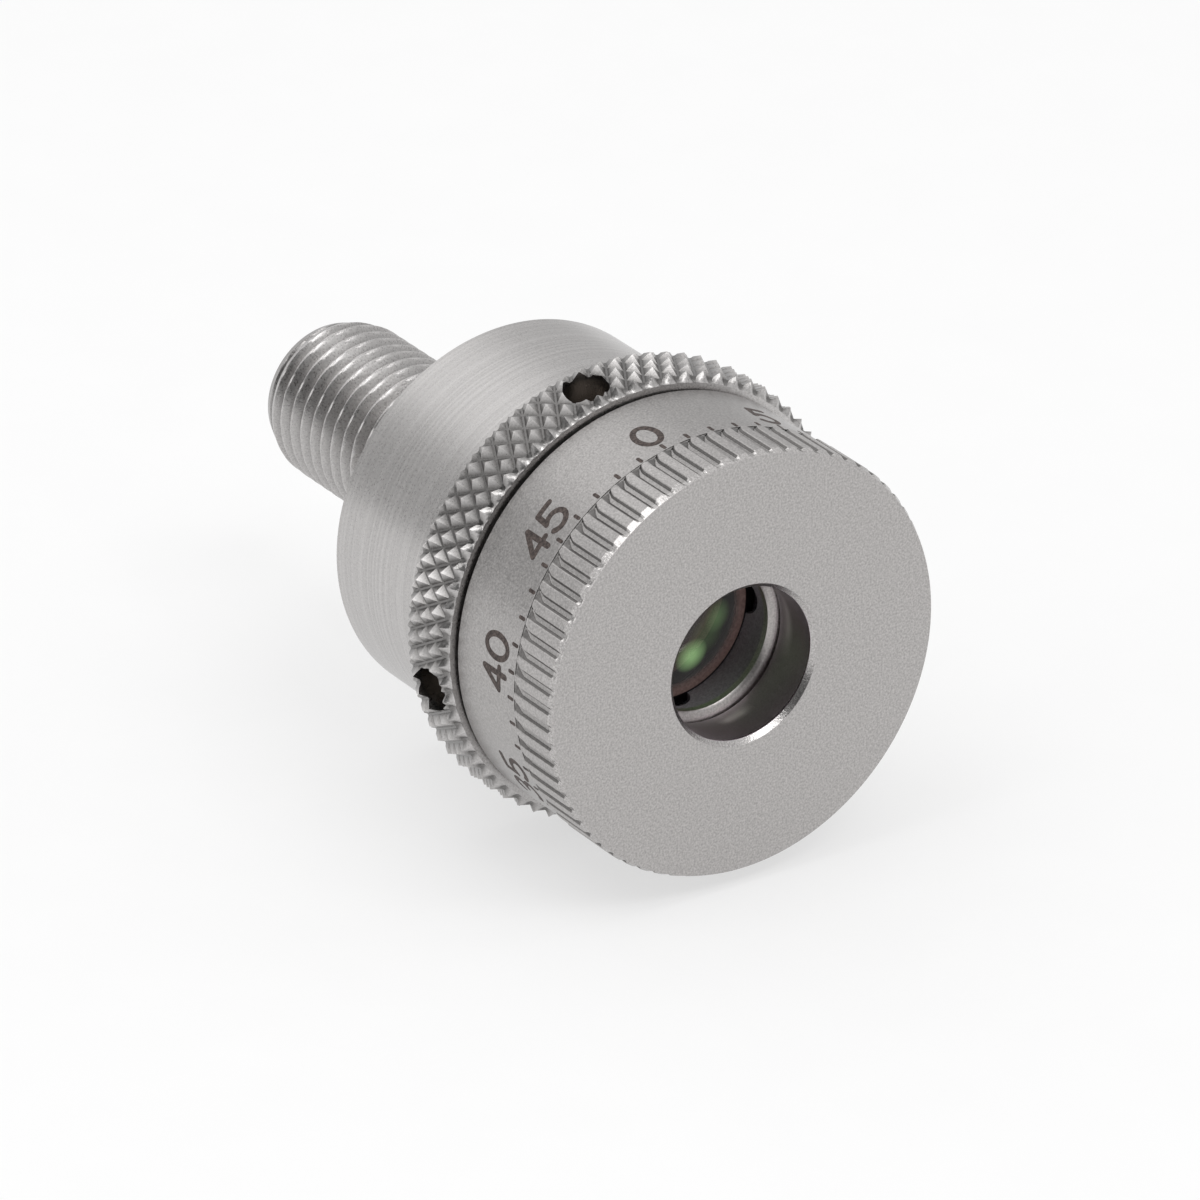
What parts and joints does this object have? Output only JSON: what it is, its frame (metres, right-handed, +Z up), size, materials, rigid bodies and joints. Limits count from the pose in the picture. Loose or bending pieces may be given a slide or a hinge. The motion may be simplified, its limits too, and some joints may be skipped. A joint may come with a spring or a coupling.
{
  "type": "adjustable fibre collimator",
  "caption": "Fibre collimator with a threaded fibre nipple, smooth barrel, knurled locking ring, and a knurled sleeve that moves the lens along the axis.",
  "frame": {"origin": "On the optical axis, halfway along the smooth 15 mm grip of the barrel, where a holder takes it.", "axes": "+X is the optical axis towards the front face, where the collimated beam leaves. +Z is up. The fibre plugs in from -X."},
  "size_m": [0.028, 0.0178, 0.0178],
  "materials": {
    "turned_steel": "satin turned stainless steel",
    "thread_steel": "bright cut stainless thread",
    "knurled_steel": "diamond-knurled stainless steel",
    "satin_steel": "bead-blasted satin stainless steel",
    "cell_steel": "fine-turned stainless steel",
    "blackened_steel": "blackened, matt",
    "spring_steel": "drawn spring steel",
    "washer_bronze": "rolled bronze",
    "coated_glass": "glass with an antireflection coating"
  },
  "bodies": {
    "housing": {"barrel": "turned_steel", "sma_receptacle": "thread_steel", "receptacle_clamp_ring": "turned_steel", "guide_pin_left": "spring_steel", "guide_pin_right": "spring_steel", "stop_ring": "spring_steel", "preload_spring": "spring_steel"},
    "lens_cell": {"lens_carriage": "cell_steel", "lens_mount": "blackened_steel", "lens": "coated_glass", "lens_retainer": "blackened_steel"},
    "adjuster": {"adjuster_sleeve": "satin_steel", "slip_washer": "washer_bronze"},
    "lock_ring": {"lock_ring": "knurled_steel"}
  },
  "joints": [
    {"name": "focus_slide", "type": "slide", "parent": "housing", "child": "lens_cell", "axis": [1, 0, 0], "range_m": [0, 0.0015], "deforming": ["preload_spring"]},
    {"name": "adjuster_turn", "type": "hinge", "parent": "lens_cell", "child": "adjuster", "pos_m": [0.0096, 0, 0], "axis": [1, 0, 0], "range_deg": [0, 1080]},
    {"name": "lock_ring_turn", "type": "hinge", "parent": "housing", "child": "lock_ring", "pos_m": [0.00508, 0, 0], "axis": [1, 0, 0], "range_deg": [-360, 108]}
  ],
  "couplings": [
    {"joint": "adjuster_turn", "follows": "focus_slide", "rad_per_m": 12566}
  ]
}
